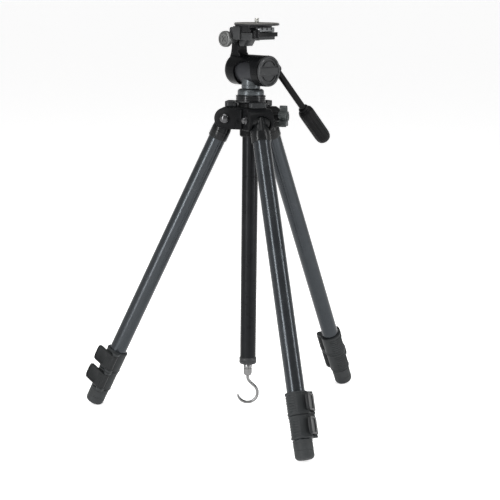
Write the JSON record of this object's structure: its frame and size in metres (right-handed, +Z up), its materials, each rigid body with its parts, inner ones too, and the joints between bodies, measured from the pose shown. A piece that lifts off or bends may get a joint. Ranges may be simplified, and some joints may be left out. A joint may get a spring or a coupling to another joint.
{
  "type": "folding camera tripod",
  "caption": "Folding field tripod with telescoping flip-lock legs, a sliding centre column with weight hook, and a pan and tilt head with a quick-release camera plate.",
  "frame": {"origin": "point on the floor under the centre column's axis, with the feet standing on z = 0", "axes": "+Z up along the centre column; the three legs point to -90, 30 and 150 degrees about it, measured from +X"},
  "size_m": [0.4346, 0.3819, 0.5832],
  "materials": {
    "casting": "satin black paint",
    "tube": "semi-gloss gunmetal",
    "clamp": "matte charcoal, ribbed",
    "lever": "satin black",
    "steel": "bright turned",
    "foot": "matte charcoal",
    "tab": "satin black",
    "bushing": "smooth black nylon",
    "black_bolt": "black oxide",
    "column": "satin black anodised",
    "platform": "satin black",
    "grey_metal": "bead-blasted",
    "cap": "semi-gloss black",
    "chrome": "polished",
    "knob": "dark grey",
    "housing": "satin black paint",
    "rod": "gloss black",
    "grip": "fluted black rubber",
    "knob_ring": "grey-black",
    "plate": "satin black",
    "pad": "matte"
  },
  "bodies": {
    "shoulder": {"shoulder": "casting", "column_bushing": "bushing", "hinge_bolts": "black_bolt"},
    "leg_1": {"leg_1_head": "casting", "leg_1_upper_tube": "tube", "leg_1_upper_clamp": "clamp", "leg_1_upper_lever_pin": "steel"},
    "leg_1_upper_lever": {"leg_1_upper_lever": "lever"},
    "leg_1_middle": {"leg_1_middle_tube": "tube", "leg_1_lower_clamp": "clamp", "leg_1_lower_lever_pin": "steel"},
    "leg_1_lower_lever": {"leg_1_lower_lever": "lever"},
    "leg_1_lower": {"leg_1_lower_tube": "tube", "leg_1_foot": "foot"},
    "leg_1_tab": {"leg_1_angle_tab": "tab"},
    "leg_2": {"leg_2_head": "casting", "leg_2_upper_tube": "tube", "leg_2_upper_clamp": "clamp", "leg_2_upper_lever_pin": "steel"},
    "leg_2_upper_lever": {"leg_2_upper_lever": "lever"},
    "leg_2_middle": {"leg_2_middle_tube": "tube", "leg_2_lower_clamp": "clamp", "leg_2_lower_lever_pin": "steel"},
    "leg_2_lower_lever": {"leg_2_lower_lever": "lever"},
    "leg_2_lower": {"leg_2_lower_tube": "tube", "leg_2_foot": "foot"},
    "leg_2_tab": {"leg_2_angle_tab": "tab"},
    "leg_3": {"leg_3_head": "casting", "leg_3_upper_tube": "tube", "leg_3_upper_clamp": "clamp", "leg_3_upper_lever_pin": "steel"},
    "leg_3_upper_lever": {"leg_3_upper_lever": "lever"},
    "leg_3_middle": {"leg_3_middle_tube": "tube", "leg_3_lower_clamp": "clamp", "leg_3_lower_lever_pin": "steel"},
    "leg_3_lower_lever": {"leg_3_lower_lever": "lever"},
    "leg_3_lower": {"leg_3_lower_tube": "tube", "leg_3_foot": "foot"},
    "leg_3_tab": {"leg_3_angle_tab": "tab"},
    "column": {"column_tube": "column", "column_extension": "column", "column_platform": "platform", "pan_base": "grey_metal", "column_end_cap": "cap", "hook_stud": "chrome"},
    "weight_hook": {"weight_hook": "chrome"},
    "column_knob": {"column_lock_knob": "knob"},
    "pan": {"pan_body": "grey_metal"},
    "tilt": {"tilt_housing": "housing", "tilt_end_cap": "cap"},
    "handle": {"handle_rod": "rod", "handle_grip": "grip"},
    "flip": {"clamp_body": "housing", "flip_axle": "steel"},
    "flip_knob": {"flip_knob": "knob_ring"},
    "clamp_lever": {"clamp_lever": "lever"},
    "clamp_jaw": {"clamp_jaw": "grey_metal"},
    "plate": {"quick_release_plate": "plate", "plate_pad": "pad"},
    "camera_screw": {"camera_screw": "steel"}
  },
  "joints": [
    {"name": "leg_1_hinge", "type": "hinge", "parent": "shoulder", "child": "leg_1", "pos_m": [0, -0.0345, 0.4408], "axis": [-1, 0, 0], "range_deg": [-24.8, 0]},
    {"name": "leg_1_upper_lever_hinge", "type": "hinge", "parent": "leg_1", "child": "leg_1_upper_lever", "pos_m": [0.02, -0.20254, 0.07147], "axis": [0, 0.4208, 0.9071], "range_deg": [0, 110]},
    {"name": "leg_1_middle_slide", "type": "slide", "parent": "leg_1", "child": "leg_1_middle", "axis": [0, -0.4208, -0.9071], "range_m": [0, 0.32]},
    {"name": "leg_1_lower_lever_hinge", "type": "hinge", "parent": "leg_1_middle", "child": "leg_1_lower_lever", "pos_m": [0.0193, -0.216, 0.04244], "axis": [0, 0.4208, 0.9071], "range_deg": [0, 110]},
    {"name": "leg_1_lower_slide", "type": "slide", "parent": "leg_1_middle", "child": "leg_1_lower", "axis": [0, -0.4208, -0.9071], "range_m": [0, 0.32]},
    {"name": "leg_1_tab_slide", "type": "slide", "parent": "shoulder", "child": "leg_1_tab", "axis": [0, -1, 0], "range_m": [0, 0.006], "stiffness_N_per_m": 200, "springref_m": -0.002},
    {"name": "leg_2_hinge", "type": "hinge", "parent": "shoulder", "child": "leg_2", "pos_m": [0.02988, 0.01725, 0.4408], "axis": [0.5, -0.866, 0], "range_deg": [-24.8, 0]},
    {"name": "leg_2_upper_lever_hinge", "type": "hinge", "parent": "leg_2", "child": "leg_2_upper_lever", "pos_m": [0.1654, 0.11859, 0.07147], "axis": [-0.3645, -0.2104, 0.9071], "range_deg": [0, 110]},
    {"name": "leg_2_middle_slide", "type": "slide", "parent": "leg_2", "child": "leg_2_middle", "axis": [0.3645, 0.2104, -0.9071], "range_m": [0, 0.32]},
    {"name": "leg_2_lower_lever_hinge", "type": "hinge", "parent": "leg_2_middle", "child": "leg_2_lower_lever", "pos_m": [0.17741, 0.12472, 0.04244], "axis": [-0.3645, -0.2104, 0.9071], "range_deg": [0, 110]},
    {"name": "leg_2_lower_slide", "type": "slide", "parent": "leg_2_middle", "child": "leg_2_lower", "axis": [0.3645, 0.2104, -0.9071], "range_m": [0, 0.32]},
    {"name": "leg_2_tab_slide", "type": "slide", "parent": "shoulder", "child": "leg_2_tab", "axis": [0.866, 0.5, 0], "range_m": [0, 0.006], "stiffness_N_per_m": 200, "springref_m": -0.002},
    {"name": "leg_3_hinge", "type": "hinge", "parent": "shoulder", "child": "leg_3", "pos_m": [-0.02988, 0.01725, 0.4408], "axis": [0.5, 0.866, 0], "range_deg": [-24.8, 0]},
    {"name": "leg_3_upper_lever_hinge", "type": "hinge", "parent": "leg_3", "child": "leg_3_upper_lever", "pos_m": [-0.1854, 0.08395, 0.07147], "axis": [0.3645, -0.2104, 0.9071], "range_deg": [0, 110]},
    {"name": "leg_3_middle_slide", "type": "slide", "parent": "leg_3", "child": "leg_3_middle", "axis": [-0.3645, 0.2104, -0.9071], "range_m": [0, 0.32]},
    {"name": "leg_3_lower_lever_hinge", "type": "hinge", "parent": "leg_3_middle", "child": "leg_3_lower_lever", "pos_m": [-0.19672, 0.09129, 0.04244], "axis": [0.3645, -0.2104, 0.9071], "range_deg": [0, 110]},
    {"name": "leg_3_lower_slide", "type": "slide", "parent": "leg_3_middle", "child": "leg_3_lower", "axis": [-0.3645, 0.2104, -0.9071], "range_m": [0, 0.32]},
    {"name": "leg_3_tab_slide", "type": "slide", "parent": "shoulder", "child": "leg_3_tab", "axis": [-0.866, 0.5, 0], "range_m": [0, 0.006], "stiffness_N_per_m": 200, "springref_m": -0.002},
    {"name": "column_slide", "type": "slide", "parent": "shoulder", "child": "column", "axis": [0, 0, 1], "range_m": [0, 0.3]},
    {"name": "column_knob_turn", "type": "hinge", "parent": "shoulder", "child": "column_knob", "pos_m": [0.03897, -0.0225, 0.4435], "axis": [0.866, -0.5, 0], "continuous": true},
    {"name": "hook_swivel", "type": "hinge", "parent": "column", "child": "weight_hook", "pos_m": [0, 0, 0.066], "axis": [0, 0, 1], "continuous": true},
    {"name": "pan", "type": "hinge", "parent": "column", "child": "pan", "pos_m": [0, 0, 0.485], "axis": [0, 0, 1], "continuous": true},
    {"name": "tilt", "type": "hinge", "parent": "pan", "child": "tilt", "pos_m": [0, 0, 0.5092], "axis": [0.4648, -0.8854, 0], "range_deg": [-15, 75]},
    {"name": "handle_twist", "type": "hinge", "parent": "tilt", "child": "handle", "pos_m": [0.02342, -0.01707, 0.52228], "axis": [0.6326, 0.3321, -0.6997], "range_deg": [0, 180]},
    {"name": "portrait_flip", "type": "hinge", "parent": "tilt", "child": "flip", "pos_m": [-0.01092, 0.02081, 0.553], "axis": [-0.8854, -0.4648, 0], "range_deg": [0, 90]},
    {"name": "flip_knob_turn", "type": "hinge", "parent": "flip", "child": "flip_knob", "pos_m": [-0.03571, 0.00779, 0.553], "axis": [-0.8854, -0.4648, 0], "continuous": true},
    {"name": "clamp_lever_hinge", "type": "hinge", "parent": "flip", "child": "clamp_lever", "pos_m": [-0.00427, -0.03274, 0.56], "axis": [0, 0, -1], "range_deg": [0, 90]},
    {"name": "jaw_slide", "type": "slide", "parent": "flip", "child": "clamp_jaw", "axis": [0.4648, -0.8854, 0], "range_m": [0, 0.002]},
    {"name": "plate_slide", "type": "slide", "parent": "flip", "child": "plate", "axis": [0.8854, 0.4648, 0], "range_m": [0, 0.05]},
    {"name": "camera_screw_turn", "type": "hinge", "parent": "plate", "child": "camera_screw", "pos_m": [0.00465, -0.00885, 0.576], "axis": [0, 0, 1], "continuous": true}
  ],
  "couplings": [
    {"joint": "jaw_slide", "follows": "clamp_lever_hinge", "m_per_rad": 0.0012732}
  ]
}
